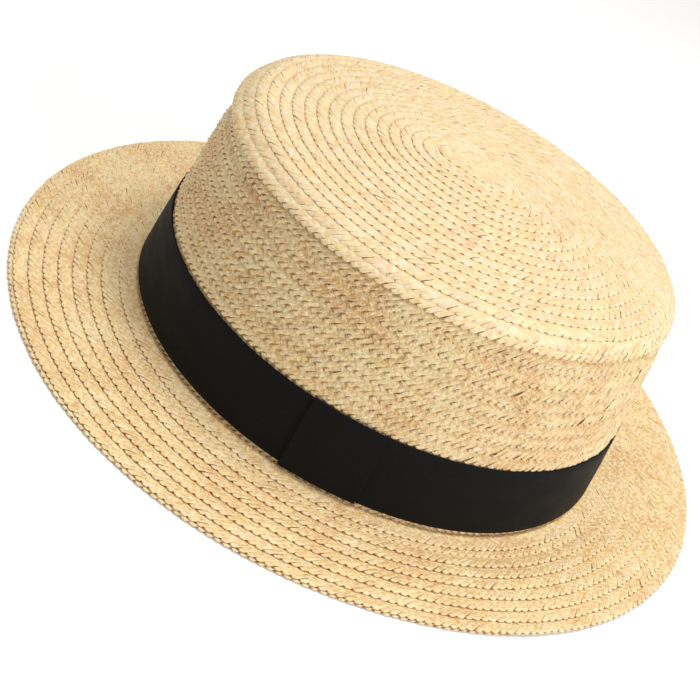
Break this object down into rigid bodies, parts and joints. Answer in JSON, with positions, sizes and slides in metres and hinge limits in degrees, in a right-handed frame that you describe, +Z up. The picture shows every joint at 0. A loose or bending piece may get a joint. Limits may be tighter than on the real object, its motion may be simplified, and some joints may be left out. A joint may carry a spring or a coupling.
{
  "type": "straw boater hat",
  "caption": "Stiff sewn-straw boater with an oval low-domed crown, a flat round brim, and a plain ribbon band with a flat wrapped tab on its left side.",
  "frame": {"origin": "middle of the hat's box on the surface that the brim rests on", "axes": "+Z up through the crown, -Y towards the front of the hat, +X towards the wearer's left, where the ribbon's tab is; the oval's long axis is along Y"},
  "size_m": [0.2656, 0.284, 0.0924],
  "materials": {
    "straw": "sewn wheat-straw plait, pale gold with cream, tan and pinkish straws, satin",
    "ribbon": "black grosgrain ribbon, fine cross ribs, soft sheen"
  },
  "bodies": {
    "root": {"crown": "straw", "brim": "straw", "hat_band": "ribbon", "band_tab": "ribbon"}
  },
  "joints": []
}
